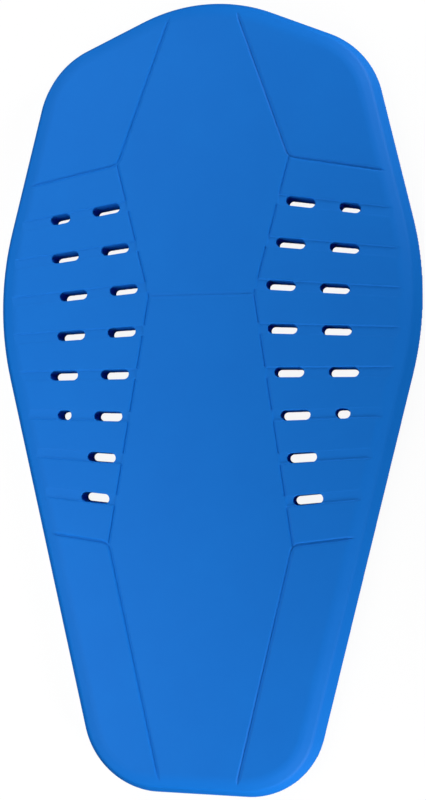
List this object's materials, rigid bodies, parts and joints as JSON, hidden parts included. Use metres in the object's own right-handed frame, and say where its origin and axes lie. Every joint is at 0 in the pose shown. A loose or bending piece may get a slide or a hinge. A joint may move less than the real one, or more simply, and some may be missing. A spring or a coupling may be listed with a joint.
{
  "type": "back protector",
  "caption": "Flat moulded foam back protector insert with a pointed crown, square shoulders, a long taper, grooved panels and rows of ventilation slots along both sides.",
  "frame": {"origin": "middle of the flat back face, which lies on the surface", "axes": "+X to the right seen from the front, +Y towards the shoulders and crown, +Z out of the front face"},
  "size_m": [0.25, 0.46, 0.013],
  "materials": {
    "foam": "closed-cell moulded foam with a matte skin, mid blue"
  },
  "bodies": {
    "root": {"pad": "foam"}
  },
  "joints": []
}
